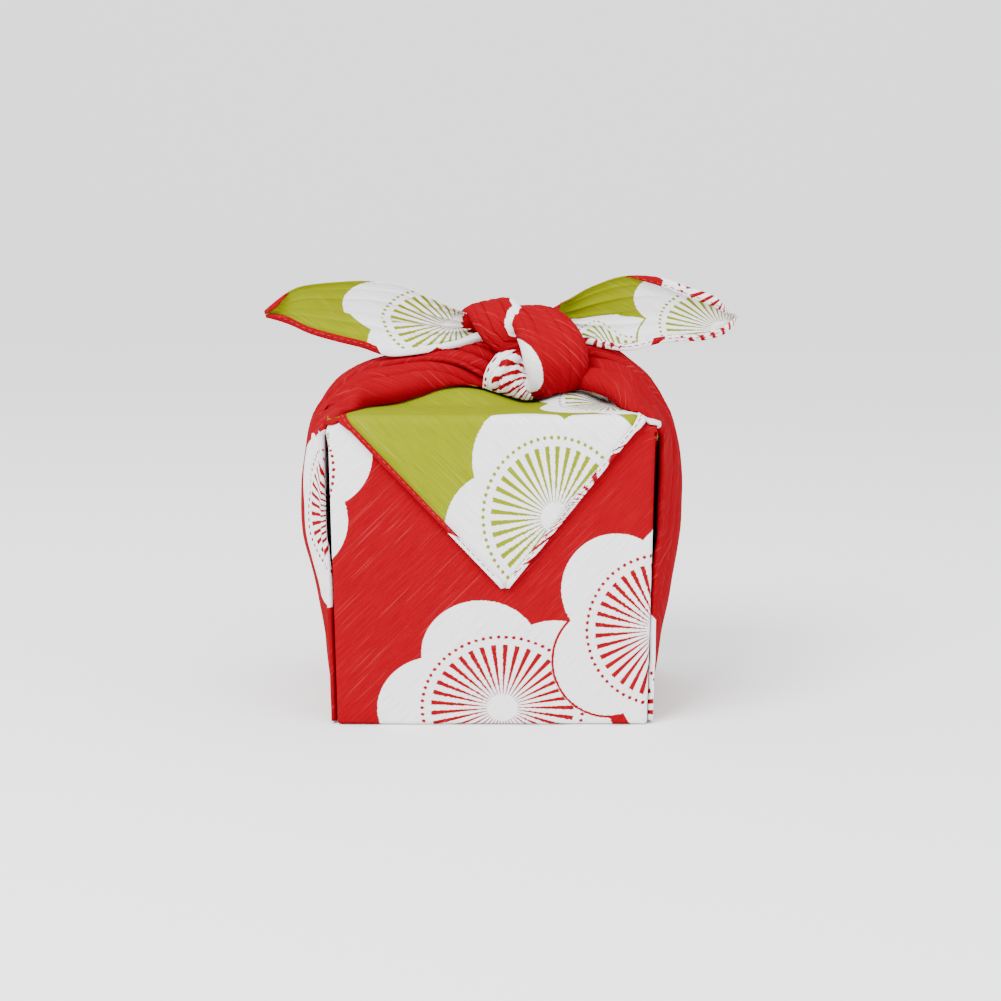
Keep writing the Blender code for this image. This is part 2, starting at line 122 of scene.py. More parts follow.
rightRun = (  # sections of the right corner, from the base's edge to the ear's tip
    (50.6, 0.0, 0.6, 96, 2.0, 1.0, 0.0, 0.0, 0.0, 0.0, 0.2, 40, 40, 0),
    (54.4, 0.0, 13.0, 97, 2.2, 1.0, 0.0, 0.1, 2.6, 0.0, 0.5, 40, 40, 0),
    (57.0, 0.0, 29.0, 97, 2.6, 1.0, 0.0, 0.1, 5.2, 0.0, 1.0, 40, 40, 0),
    (60.0, 0.0, 45.0, 96, 3.0, 1.0, 0.0, 0.0, 7.8, 0.0, 1.4, 40, 40, 0),
    (62.0, 0.0, 60.0, 91, 4.0, 1.0, 0.0, 0.0, 9.4, 0.0, 2.0, 38, 38, 0.02),
    (62.0, 0.0, 74.0, 76, 5.6, 1.0, 0.0, 0.1, 9.0, 0.0, 2.8, 32, 32, 0.2),
    (60.0, 0.0, 86.0, 54, 8.0, 1.0, 0.0, 0.3, 6.0, 0.0, 4.0, 24, 24, 0.7),
    (56.6, 0.0, 96.5, 38, 10.0, 0.9, 0.0, 0.5, 3.0, 0.0, 5.0, 17, 17, 1.35),
    (51.0, -0.5, 104.5, 31, 11.5, 0.7, -0.1, 0.7, 1.0, 0.0, 5.4, 14, 14, 1.7),
    (44.0, -0.5, 111.2, 28, 11.0, 0.5, -0.1, 0.9, 0.0, 0.0, 5.6, 13, 13, 1.15),
    (36.0, 0.0, 115.4, 26, 10.5, 0.3, -0.3, 0.9, 0.0, 0.0, 5.4, 12, 12, 0.5),
    (27.5, 1.0, 116.0, 23, 10.0, 0.1, -0.5, 0.9, 0.0, 0.0, 4.6, 11, 11, 0.15),
    (18.0, -2.0, 114.6, 20, 9.0, 0.0, -0.9, 0.4, 0.0, 0.0, 3.0, 9, 9, 0),
    (9.5, -9.0, 113.6, 19, 8.0, 0.0, -1.0, 0.0, 0.0, 0.0, 1.6, 9, 9, 0),
    (6.4, -11.0, 110.4, 19, 7.5, -0.2, -0.9, -0.3, 0.0, 0.0, 1.2, 8, 8, 0),
    (3.2, -6.0, 105.4, 16, 6.0, -0.3, -0.4, -0.9, 0.0, 0.0, 1.0, 7, 7, 0),
    (-4.6, 4.6, 108.0, 16, 6.5, -0.4, 0.7, -0.6, 0.0, 0.0, 1.2, 7, 7, 0),
    (-7.6, 9.6, 118.6, 17, 7.0, -0.3, 1.0, 0.0, 0.0, 0.0, 0.77, 8, 8, 0),
    (-5.6, 7.4, 128.4, 16, 7.0, -0.3, 0.8, 0.6, 0.0, 0.0, 0.77, 7, 7, 0),
    (-1.0, 0.0, 133.6, 16, 7.0, -0.2, 0.0, 1.0, 0.0, 0.0, 0.66, 7, 7, 0),
    (2.0, -7.4, 131.8, 17, 7.5, -0.2, -0.8, 0.6, 0.0, 0.0, 0.66, 8, 8, 0),
    (5.0, -9.4, 127.6, 16, 7.5, -0.2, -1.0, 0.0, 0.0, 0.0, 0.77, 7, 7, 0),
    (11.6, -5.0, 126.0, 14, 7.0, 0.0, -0.6, 0.7, 0.0, 0.0, 0.99, 6, 5, 0),
    (18.4, 0.0, 128.4, 12, 6.0, 0.0, 0.3, 1.0, 0.0, 0.0, 2.0, 5, 3, 0),
    (24.5, 2.0, 130.6, 12, 5.0, 0.0, 0.9, 0.5, 0.0, 1.0, 1.8, 1.9, -1, 0),
    (30.0, 1.5, 131.4, 16, 3.8, 0.0, 1.0, 0.3, 0.0, 3.0, 1.2, 1.9, -4, 0),
    (37.0, 0.5, 132.6, 21, 2.9, 0.0, 1.0, 0.3, 0.0, 5.0, 0.8, 1.9, -6, 0),
    (46.0, -0.5, 133.8, 25, 2.5, 0.0, 1.0, 0.3, 0.0, 5.5, 0.5, 1.9, -1, 0),
    (56.0, -1.0, 134.6, 23, 2.3, 0.0, 1.0, 0.3, 0.0, 4.5, 0.4, 1.9, 2.2, 0),
    (66.0, -1.5, 133.2, 18.5, 2.2, 0.0, 1.0, 0.3, 0.0, 3.0, 0.3, 1.9, 2.8, 0),
    (74.0, -1.0, 131.8, 16, 2.1, 0.0, 1.0, 0.3, 0.0, 2.0, 0.2, 1.9, 3, 0),
    (80.0, -0.5, 131.2, 10, 2.0, 0.0, 1.0, 0.2, 0.0, 1.0, 0.1, 2.4, 2.4, 0),
    (84.0, 0.0, 132.6, 2.4, 1.8, 0.0, 1.0, 0.2, 0.0, 0.0, 0.0, 0.8, 0.8, 0),
)
gather = {  # how the side corners are pleated
    "step": 2.4,  # spacing of the sections
    "betweenRows": 24,  # points of the smooth curve between two rows of a table
    "columns": 25,  # evenly spaced columns across, before those of the valleys
    "closest": 0.012,  # columns closer than this are left out
    "edgeThick": 0.1,  # thickness at a section's edge, as a share
    "curlFrom": 0.05,
    "seed": 6,
    "wobble": (0.1, 0.35, 20.0, 11.0),  # low down, further on, from which length, and its width
    "foldAt": 0.4,  # where the two main folds lie across the strap
    "foldLow": (0.93, 0.95),  # and at the base's edge, left and right
    "foldPower": (1.0, 1.5),
    "strapAt": 110.0,  # the run's length at which the strap begins
    "freeAt": (168.0, 140.0),  # where each strap goes into the knot
    "freeShift": 80.0,  # which part of the cloth's width shows from there on
    "hidden": ((34.0, 10.5), (24.0, 26.0)),  # cloth lost in the fold at the upright edges: across and along
    "earFrom": (238.0, 248.0),  # where the ears begin
    "earOver": 14.0,  # and the length over which they lean back
    "earTilt": 1.5,  # how much wider the ears are than they look, as they lean back
    "clear": (0.5, 2.0),  # room for the layers under it, low and high up the side
    "clearFrom": (52.0, 10.0),  # height at which the room begins to grow, and over how much
    "pushTo": 208.0,  # from this length on the run is clear of the box
    "layers": 1.3,  # thickness of its own layers on the side
    "rest": 103.6,  # the straps rest at this height
    "layersOnTop": 0.8,
}
# The cloth folded in under a corner's outer layer, from its edge inwards: how far in, and how deep in the bundle.
tuckPlaces = (
    (0.02, -1.0), (0.08, -1.0), (0.2, -1.0), (0.4, -1.0), (0.7, -1.0), (1.0, -1.0), (1.02, -0.85),
    (1.0, -0.7), (0.6, -0.7), (0.25, -0.7), (0.2, -0.55), (0.25, -0.4), (0.6, -0.4), (0.95, -0.4),
    (1.0, -0.26), (0.95, -0.12), (0.6, -0.12), (0.25, -0.12),
)
# In each ear a crease hides a strip of the print: its place across, the cloth hidden above or below it, and where.
creases = (
    {"at": 0.1, "above": 5.0, "below": 0.0, "from": 240.0, "to": 292.0},
    {"at": 0.12, "above": 0.0, "below": 13.0, "from": 240.0, "to": 276.0},
)
# Each valley: place across, width, depth as a share of the pleat, and how far it leans under its neighbour.
valleys = (
    (0.4, 0.13, 1.0, -0.7),
    (-0.4, 0.13, 0.9, 0.7),
    (0.72, 0.10, 0.7, 0.3),
    (0.04, 0.14, 0.45, 0.3),
    (-0.72, 0.10, 0.6, -0.3),
)


def halfWidth(z):
    share = min(max(z / body["height"], 0), 1)
    return (body["widthLow"] + (body["widthTop"] - body["widthLow"]) * share) / 2


noiseShift = Vector((17.3, 5.1, 9.7))


# Smooth noise between about -1 and 1.
def ruffle(point, scale, seed):
    return noise.noise(Vector(point) / scale + noiseShift * seed)


clothParts = []  # each grid of the one cloth: its points, their places on the flat map, and its red side's sign


def addGrid(name, points, flat, redSign):
    clothParts.append((name, np.array(points, float), np.array(flat, float), redSign))


# The strip from the flap's tip, over the top and back, down the front, under the base and up the back. Each of
# its rows: y, z, the way out of the box, the layer, and the side that its red face is on.
def stripRoute():
    half, height, turn = body["depth"] / 2, body["height"], body["fold"]
    front, top, under = -half - gap["flap"], height + gap["flap"], height + gap["under"]
    wall, behind = half + gap["wall"], height + gap["back"]
    foldY = -half + body["foldBehind"]
    bend = (top - under) / 2
    route = []

    def straight(layer, start, end, out, red, step):
        count = max(2, round(math.dist(start, end) / step))
        for i in range(count):
            t = i / count
            y, z = start[0] + (end[0] - start[0]) * t, start[1] + (end[1] - start[1]) * t
            route.append((y, z, out, layer, red))

    def arc(layer, centre, radius, first, last, red, count, inward=False):
        for i in range(count):
            angle = math.radians(first + (last - first) * i / count)
            way = (math.cos(angle), math.sin(angle))
            out = (-way[0], -way[1]) if inward else way
            route.append((centre[0] + radius * way[0], centre[1] + radius * way[1], out, layer, red))

    soft = flap["fold"]
    straight("flap", (front, flap["tipZ"]), (front, top - soft), (-1, 0), -1, routeSteps["flap"])
    arc("flap", (front + soft, top - soft), soft, 180, 90, -1, 6)
    straight("flapTop", (front + soft, top), (foldY - bend, top), (0, 1), -1, routeSteps["face"])
    arc("turn", (foldY - bend, top - bend), bend, 90, -90, -1, 5)
    straight("under", (foldY - bend, under), (-wall + turn, under), (0, 1), 1, routeSteps["hidden"])
    arc("under", (-wall + turn, under - turn), turn, 90, 180, 1, 3)
    low = -gap["wall"]
    straight("front", (-wall, under - turn), (-wall, low + turn), (-1, 0), 1, routeSteps["face"])
    arc("front", (-wall + turn, low + turn), turn, 180, 270, 1, 3)
    straight("base", (-wall + turn, low), (wall - turn, low), (0, -1), 1, routeSteps["hidden"])
    arc("rear", (wall - turn, low + turn), turn, 270, 360, 1, 3)
    straight("rear", (wall, low + turn), (wall, behind - turn), (1, 0), 1, routeSteps["face"])
    arc("rear", (wall - turn, behind - turn), turn, 0, 90, 1, 3)
    straight("back", (wall - turn, behind), (half - body["tuckedFrom"], behind), (0, 1), 1, routeSteps["hidden"])
    return route


sideGap = {
    "flap": 0.0,
    "flapTop": gap["sideFlap"],
    "turn": (gap["sideFlap"] + gap["sideUnder"]) / 2,
    "under": gap["sideUnder"],
    "front": gap["sideWall"],
    "base": gap["sideWall"],
    "rear": gap["sideWall"],
    "back": gap["sideBack"],
}


# How far a row of the strip turns on to the side of the box.
def sideReach(layer, y, z):
    depth, height = body["depth"] / 2, body["height"]
    if layer == "base":
        return body["baseReach"]
    if layer in ("front", "rear"):
        edge = height - z
    elif layer == "back":
        edge = depth - y
    else:
        edge = depth + y - (flap["topLess"] if layer == "flapTop" else 0.0)
    return max(body["leastReach"], min(body["sideReach"], edge))


# Columns from the middle to one side: on the face, round the upright edge, on the side, and the turned hem.
stripColumns = [("flat", share) for share in np.linspace(0, 1, 24)]
stripColumns += [("bend", share) for share in (0.25, 0.5, 0.75, 1.0)]
stripColumns += [("side", share) for share in np.linspace(0, 1, 11)[1:]]
# The border turned over to the green side: how far back, as a share of the hem, and how high.
hemLips = ((0.0, 0.4), (0.02, 0.72), (0.25, 0.98), (0.6, 1.0), (1.0, 1.0))
stripColumns += [("hem", share) for share in range(len(hemLips))]


def stripRow(place, length):
    y, z, out, layer, red = place
    hem, radius = body["narrowHem"], body["fold"]
    inward = {"front": (1, 0), "rear": (-1, 0), "base": (0, 1)}.get(layer, (0, -1))
    if layer == "flap":
        share = min((z - flap["tipZ"]) / (body["height"] - flap["tipZ"]), 1)
        ends = [side * (halfWidth(body["height"]) - flap["inset"]) - flap["tipX"] for side in (-1, 1)]
        reach = [abs(end * share) + flap["blunt"] for end in ends]
        hem = min(flap["hem"], 0.75 * min(reach))
        middle = flap["tipX"]
    else:
        half = halfWidth(z) + sideGap[layer]
        start, quarter = half - radius, radius * math.pi / 2
        reach = [start + quarter + sideReach(layer, y, z)] * 2
        if layer == "flapTop":
            widening = halfWidth(body["height"]) - flap["inset"] + flap["blunt"] + max(y + body["depth"] / 2, 0)
            reach = [min(widening, reach[0])] * 2
        hem = flap["hem"] if layer == "flapTop" else hem
        middle = 0.0

    def spot(side, kind, share):
        far = reach[0] if side < 0 else reach[1]
        lift, back = 0.0, 0.0
        if kind == "hem":
            back, lift = hemLips[share][0] * hem, hemLips[share][1]
            across = far
        elif layer == "flap":
            across = far * {"flat": 0.9 * share, "bend": 0.9 + 0.05 * share, "side": 0.95 + 0.05 * share}[kind]
        else:
            bent, turned = min(start, 0.94 * far), min(start + quarter, 0.97 * far)
            across = {
                "flat": bent * share,
                "bend": bent + (turned - bent) * share,
                "side": turned + (far - turned) * share,
            }[kind]
        onMap = (middle + side * (across + back), length)
        across -= back
        if layer == "flap":
            off = flap["lift"] * (across / far) ** 3 * (0.6 + 0.4 * ruffle((side * 30, z, 0), 14, 3)) + lift
            return (middle + side * across, y + out[0] * off, z + out[1] * off), onMap
        bend = min(max(across - start, 0), quarter)
        facing = bend / radius
        green = -red * lift
        x = min(across, start) + radius * math.sin(facing) + green * math.sin(facing)
        along = radius * (1 - math.cos(facing)) + max(across - start - quarter, 0)
        up = green * math.cos(facing)
        return (side * x, y + inward[0] * along + out[0] * up, z + inward[1] * along + out[1] * up), onMap

    row = [spot(-1, *column) for column in stripColumns[:0:-1]] + [spot(1, *column) for column in stripColumns]
    return [point for point, _ in row], [onMap for _, onMap in row]


unevenness = ((0.28, 26, 1), (0.12, 9, 2))  # height, width and seed of the soft waves on the faces


# The same for every layer, so that none meets another.
def settle(x, y, z):
    return sum(high * ruffle((x, y, z), wide, seed) for high, wide, seed in unevenness)


bulges = (  # where the folded top is drawn up under the straps, beside the knot
    {"x": -13.0, "half": 24.0, "high": 5.2},
    {"x": 27.0, "half": 12.0, "high": 3.6},
)
bulgeFrom = (-23.0, -12.0, 4.0, 20.0)  # from y to y: rising, level, falling


def smooth(value):
    value = min(max(value, 0), 1)
    return value * value * (3 - 2 * value)


def rise(x, y):
    first, full, last, end = bulgeFrom
    shape = smooth((y - first) / (full - first)) * smooth((end - y) / (end - last))
    return shape * sum(b["high"] * max(0, 1 - ((x - b["x"]) / b["half"]) ** 2) ** 1.5 for b in bulges)


# The front's upper corners are pressed round.
cornerDrop = {"down": 3.4, "across": 8.0, "back": 16.0, "below": 14.0}


def dropOf(x, y, z):
    across = smooth((abs(x) - halfWidth(z) + cornerDrop["across"]) / cornerDrop["across"])
    front = smooth((cornerDrop["back"] - y - body["depth"] / 2) / cornerDrop["back"])
    top = smooth((z - body["height"] + cornerDrop["below"]) / cornerDrop["below"])
    return cornerDrop["down"] * across * front * top


def makeStrip():
    route = stripRoute()
    lengths = [0.0]
    for a, b in zip(route, route[1:]):
        lengths.append(lengths[-1] + math.dist(a[:2], b[:2]))
    base = [s for s, place in zip(lengths, route) if place[3] == "base"]
    zero = (base[0] + base[-1]) / 2
    points, flat = [], []
    for place, length in zip(route, lengths):
        row, onMap = stripRow(place, length - zero)
        y, z, out, layer, red = place
        moved = []
        for x, py, pz in row:
            inset = min(1.0, max(0.0, (halfWidth(pz) - abs(x)) / body["stillEdge"]))
            amount = settle(x, py, pz) * inset if layer != "base" else 0.0
            if layer in ("flapTop", "turn", "under"):
                amount += rise(x, py) * inset
            moved.append((x, py + out[0] * amount, pz + out[1] * amount - dropOf(x, py, pz)))
        points.append(moved)
        flat.append(onMap)
    addGrid("strip", points, flat, 1)
    print("stage: strip", len(points), "rows")
    return sum(place[3] == "flap" for place in route)


# The side corners: gathered, carried over the top, tied and let out as ears. A smooth curve goes through each
# table's rows and is read at even steps along it.
def evenRows(table, step):
    knots = np.array(table, float)
    dense = []
    for i in range(len(knots) - 1):
        before, start = knots[max(i - 1, 0)], knots[i]
        end, after = knots[i + 1], knots[min(i + 2, len(knots) - 1)]
        for t in np.arange(0, 1, 1 / gather["betweenRows"]):
            dense.append(
                0.5
                * (
                    2 * start
                    + (end - before) * t
                    + (2 * before - 5 * start + 4 * end - after) * t**2
                    + (3 * start - before - 3 * end + after) * t**3
                )
            )
    dense.append(knots[-1])
    dense = np.array(dense)
    travelled = np.concatenate(([0], np.cumsum(np.linalg.norm(np.diff(dense[:, :3], axis=0), axis=1))))
    count = round(travelled[-1] / step)
    where = np.linspace(0, travelled[-1], count + 1)
    return where, np.stack([np.interp(where, travelled, dense[:, k]) for k in range(dense.shape[1])], axis=1)


# Places across a section, from its low or front edge at 1 to the other at -1, closer together in the folds.
def acrossPlaces():
    places = set(np.round(np.linspace(-1, 1, gather["columns"]), 3))
    places |= {-0.985, 0.985}
    for place, width, _, _ in valleys:
        for share in (-1, -0.6, -0.3, -0.12, 0, 0.12, 0.3, 0.6, 1):
            places.add(round(place + share * width, 3))
    kept = []
    for place in sorted(places, reverse=True):
        if not kept or kept[-1] - place > gather["closest"]:
            kept.append(place)
    return kept


# Keeps a point of a gathered corner outside the box and the layers on it. Its rank is 1 for the outer layer.
def pushOut(point, rank, length):
    x, y, z = point
    (low, high), (start, fade) = gather["clear"], gather["clearFrom"]
    clear = low + (high - low) * min(max((z - start) / fade, 0), 1) + gather["layers"] * rank
    half, top = halfWidth(z) + clear, gather["rest"] + gather["layersOnTop"] * rank + rise(x, y)
    if abs(y) > body["depth"] / 2 or abs(x) >= half or z >= top or length > gather["pushTo"]:
        return point
    if half - abs(x) < top - z:
        return (math.copysign(half, x), y, z)
    return (x, y, top)


def makeRun(name, table, side):
    which = 0 if side < 0 else 1
    where, rows = evenRows(table, gather["step"])
    centres = rows[:, :3]
    places = acrossPlaces()
    points, flat = [], []
    lostAcross, lostAlong = gather["hidden"][which]
    edgeP = -(body["widthLow"] / 2 + body["leastReach"] + lostAcross)
    edgeQ = -(body["depth"] / 2 + lostAlong)
    for i, (length, row) in enumerate(zip(where, rows)):
        get = dict(zip(columns, row))
        along = Vector(centres[min(i + 1, len(rows) - 1)] - centres[max(i - 1, 0)]).normalized()
        out = Vector((get["outX"], get["outY"], get["outZ"]))
        out = (out - along * out.dot(along)).normalized()
        across = along.cross(out) * -side  # points to the front edge on the side, and to the ear's low edge
        middle = Vector((get["x"], get["y"], get["z"]))
        half, thick = get["wide"] / 2, get["thick"] / 2
        grown = min(length / gather["strapAt"], 1)
        fold = gather["foldAt"]
        fold += (gather["foldLow"][which] - fold) * (1 - grown ** gather["foldPower"][which])
        low = 1 if across.z <= 0 else -1  # the sign of the lower edge

        def spread(c):
            edge = gather["foldAt"]
            if abs(c) <= edge:
                return c / edge * fold
            return math.copysign(fold + (abs(c) - edge) / (1 - edge) * (1 - fold), c)

        def place(u, high, lateral=0.0):
            turn = get["arch"] * u**4 + get["curl"] * max(u * low - gather["curlFrom"], 0) ** 1.6
            sideways = half * (u + get["flare"] * max(u, 0) ** 2) + lateral
            return middle + across * sideways + out * (high - turn)

        def pad(u):
            return thick * (math.sqrt(max(1 - u**4, 0)) + gather["edgeThick"])

        over = []
        for c in places:
            u = spread(c)
            high, lateral = pad(u), 0.0
            for number, (at, width, depth, lean) in enumerate(valleys):
                reach = 1 - abs(c - at) / width
                if reach <= 0:
                    continue
                strength = get["pleat"] * depth * (0.8 + 0.35 * ruffle((length, number * 40, which * 90), 24, 4))
                if abs(at) != gather["foldAt"]:
                    strength *= grown**2
                high -= strength * reach**1.6
                lateral += lean * strength * reach**1.6 * min(1, grown * 1.5)
            if length < gather["strapAt"]:
                high -= 0.7 * (1 - grown) * (1 if abs(c) > gather["foldAt"] else 0)
            point = place(u, high, lateral)
            over.append((pushOut(point, 1, length), c))

        def tuck(sign, reach):
            made = []
            for share, level in tuckPlaces:
                inward = min(abs(reach) / half, 0.97) * share
                u = sign * (1 - inward)
                high = pad(u) * level if reach > 0 else pad(u) - 0.7 * level * min(inward * 8, 1)
                made.append((pushOut(place(u, high), 1 + level, length), sign))
            return made

        front, back = tuck(1, get["tuckLow"]), tuck(-1, get["tuckHigh"])
        line = front[::-1] + over + back
        positions = np.array([p for p, _ in line])
        crossing = np.concatenate(([0], np.cumsum(np.linalg.norm(np.diff(positions, axis=0), axis=1))))
        centreAt = crossing[len(front) + places.index(min(places, key=abs))]
        frontAt, backAt = crossing[len(front)], crossing[len(front) + len(places) - 1]
        free = length > gather["freeAt"][which]
        tilt = 1 + (gather["earTilt"] - 1) * smooth((length - gather["earFrom"][which]) / gather["earOver"])
        mapped = []
        crease = creases[which]
        inCrease = smooth((length - crease["from"]) / 8) * smooth((crease["to"] - length) / 12)
        for (_, c), crossed in zip(line, crossing):
            if free:
                beyond = -crease["below"] if c > crease["at"] else crease["above"]
                onWidth = (crossed - centreAt) * tilt + gather["freeShift"] + beyond * inCrease
                spot = (-(body["halfDiagonal"] - (where[-1] - length)), onWidth)
            elif abs(c) <= gather["foldAt"]:
                spot = (-(body["widthLow"] / 2 + length), crossed - centreAt)
            elif c > 0:
                spot = (edgeP - (crossed - frontAt), edgeQ - length)
            else:
                spot = (edgeP - (backAt - crossed), length - edgeQ)
            mapped.append((-side * spot[0], spot[1]))
        size, further, sizeFrom, waveWide = gather["wobble"]
        if length > sizeFrom:
            size = further
        seed = gather["seed"] + which
        points.append([tuple(Vector(spot) + out * size * ruffle(spot, waveWide, seed)) for spot, _ in line])
        flat.append(mapped)
    addGrid(name, points, flat, 1 if side < 0 else -1)
    print("stage:", name, len(points), "sections, run", round(where[-1], 1), "mm")


# Unit normals of a grid of points, row by column.
def gridNormals(points):
    down = np.gradient(points, axis=0)
    right = np.gradient(points, axis=1)
    normal = np.cross(down, right)
    size = np.linalg.norm(normal, axis=2, keepdims=True)
    return normal / np.maximum(size, 1e-9)


# One mesh of all grids, with the cloth's thickness, its red and green faces and its flat map.
def makeCloth():
    verts, faces, slots, maps = [], [], [], []
    for name, points, flat, redSign in clothParts:
        normal = gridNormals(points) * redSign
        rowCount, columnCount = points.shape[:2]
        start = sum(len(v) for v in verts)
        for level in (0.5, -0.5):
            verts.append((points + normal * level * body["thick"]).reshape(-1, 3))
            maps.append(flat.reshape(-1, 2))
        index = np.arange(rowCount * columnCount).reshape(rowCount, columnCount) + start
        a, b, c, d = index[:-1, :-1], index[:-1, 1:], index[1:, 1:], index[1:, :-1]
        quads = np.stack([a, d, c, b] if redSign > 0 else [a, b, c, d], axis=-1).reshape(-1, 4)
        quads = np.concatenate([quads[:, [0, 1, 2]], quads[:, [0, 2, 3]]])
        other = quads[:, ::-1] + rowCount * columnCount
        rim = np.concatenate([index[0, :], index[1:, -1], index[-1, -2::-1], index[-2:0:-1, 0]])
        after = np.roll(rim, -1)
        edge = np.stack([rim, after, after + rowCount * columnCount, rim + rowCount * columnCount], axis=-1)
        if redSign < 0:
            edge = edge[:, ::-1]
        edge = np.concatenate([edge[:, [0, 1, 2]], edge[:, [0, 2, 3]]])
        faces += [quads, other, edge]
        slots += [np.zeros(len(quads)), np.ones(len(other)), np.zeros(len(edge))]
    verts = np.concatenate(verts) * mm
    faces = np.concatenate(faces)
    slots = np.concatenate(slots).astype(np.int32)
    maps = np.concatenate(maps)
    mesh = bpy.data.meshes.new("furoshikiCloth")
    mesh.from_pydata(verts.tolist(), [], faces.tolist())
    mesh.polygons.foreach_set("material_index", slots)
    layer = mesh.uv_layers.new(name="flatCloth")
    corners = np.empty(len(mesh.loops), dtype=np.int32)
    mesh.loops.foreach_get("vertex_index", corners)
    layer.data.foreach_set("uv", (maps[corners] * mm).astype(np.float32).ravel())
    mesh.shade_smooth()
    mesh.update()
    cloth = bpy.data.objects.new("furoshikiCloth", mesh)
    bpy.context.scene.collection.objects.link(cloth)
    print("stage: cloth of", len(faces), "triangles")
    return cloth


# Shader maths: a socket that takes Python's operators, and one method for every other node.
class Wire:
    def __init__(self, tree, socket):
        self.tree = tree
        self.socket = socket

    def node(self, kind, settings=None, inputs=None):
        made = self.tree.nodes.new(kind)
        for key, value in (settings or {}).items():
            setattr(made, key, value)
        for key, value in (inputs or {}).items():
            if isinstance(value, Wire):
                self.tree.links.new(value.socket, made.inputs[key])
            else:
                made.inputs[key].default_value = value
        return Wire(self.tree, made.outputs[0])

    def maths(self, operation, *others):
        return self.node("ShaderNodeMath", {"operation": operation}, dict(enumerate((self, *others))))

    def flipped(self, operation, first):
        return self.node("ShaderNodeMath", {"operation": operation}, {0: first, 1: self})

    def __add__(self, other):
        return self.maths("ADD", other)

    def __radd__(self, other):
        return self.maths("ADD", other)

    def __sub__(self, other):
        return self.maths("SUBTRACT", other)

    def __rsub__(self, other):
        return self.flipped("SUBTRACT", other)

    def __mul__(self, other):
        return self.maths("MULTIPLY", other)

    def __rmul__(self, other):
        return self.maths("MULTIPLY", other)

    def __truediv__(self, other):
        return self.maths("DIVIDE", other)

    # 1 below the limit and 0 above it, with a soft edge.
    def mask(self, limit, soft):
        return ((limit - self) / soft + 0.5).maths("MAXIMUM", 0.0).maths("MINIMUM", 1.0)


blossom = {  # a plum blossom of the print, before its size is set
    "petals": 5,
    "lobeAt": 20.0,
    "lobe": 18.0,
    "stamens": 37,
    "stamenFrom": 4.6,
    "stamenTo": 21.8,
    "stamenWide": (0.12, 0.82),
    "dots": 66,
    "dotAt": 24.4,
    "dot": 0.62,
    "outline": 0.85,
    "soft": 0.22,
    "shake": 0.5,  # the print's edges follow the threads this much
}
# Each blossom: p, q, its size along p and along q, and its turn in degrees. A later one lies over those before.
redBlossoms = (
    (3.4, -52.8, 1.09, 0.98, 37),
    (55.7, -79.0, 1.0, 1.03, -6),
    (-75.5, -132.5, 0.98, 1.0, 15),
    (23.0, -320.0, 1.1, 1.1, 0),
    (76.0, -309.0, 0.97, 0.97, 0),
    (-234.5, 124.0, 1.15, 1.0, 18),
    (275.0, 59.0, 0.6, 0.6, 54),
    (191.0, 70.5, 0.9, 0.9, 10),
    (108.0, 36.0, 0.8, 0.8, 40),
    (-284.0, 36.0, 0.9, 0.9, 0),
    (350.0, 82.0, 0.9, 1.1, 30),
    (308.0, 30.0, 1.0, 1.0, 54),
    (70.0, 62.0, 1.0, 1.0, 12),
    (-30.0, 110.0, 0.95, 0.95, 40),
    (-128.0, 30.0, 0.8, 0.8, 25),
)
greenBlossoms = (
    (20.5, -326.3, 0.96, 1.08, 24),
    (-286.5, 83.0, 1.06, 1.0, 48),
    (313.0, 46.0, 0.8, 0.8, 54),
    (349.5, 74.0, 0.92, 0.92, 0),
    (40.0, -262.0, 0.7, 0.8, 0),
)


# Where one blossom lies: its outline's and petals' area, and the place measured from its middle.
def petalsOf(p, q, flower):
    centreP, centreQ, sizeP, sizeQ, turn = flower
    x, y = (p - centreP) / sizeP, (q - centreQ) / sizeQ
    radius = (x * x + y * y).maths("SQRT")
    angle = y.maths("ARCTAN2", x) + math.radians(turn)
    sector = angle.maths("WRAP", math.pi / blossom["petals"], -math.pi / blossom["petals"])
    along, across = radius * sector.maths("COSINE") - blossom["lobeAt"], radius * sector.maths("SINE")
    lobe = (along * along + across * across).maths("SQRT")
    middle = radius.mask(blossom["lobe"] / 2, blossom["soft"])
    halo = lobe.mask(blossom["lobe"] + blossom["outline"], blossom["soft"]).maths("MAXIMUM", middle)
    return halo, lobe.mask(blossom["lobe"], blossom["soft"]).maths("MAXIMUM", middle), x, y


# What is left unprinted inside a blossom: its tapering stamens and its ring of dots.
def inkOf(x, y):
    radius = (x * x + y * y).maths("SQRT")
    angle = y.maths("ARCTAN2", x)

    def sector(count):
        return angle.maths("WRAP", math.pi / count, -math.pi / count) * radius

    soft = blossom["soft"]
    thin, wide = blossom["stamenWide"]
    share = (radius - blossom["stamenFrom"]) / (blossom["stamenTo"] - blossom["stamenFrom"])
    stamen = (sector(blossom["stamens"]).maths("ABSOLUTE") - share * (wide - thin)).mask(thin, soft)
    stamen = stamen * radius.mask(blossom["stamenTo"], soft) * (1 - radius.mask(blossom["stamenFrom"], soft))
    across, outward = sector(blossom["dots"]), radius - blossom["dotAt"]
    dot = (across * across + outward * outward).maths("SQRT").mask(blossom["dot"], soft)
    return stamen.maths("MAXIMUM", dot)


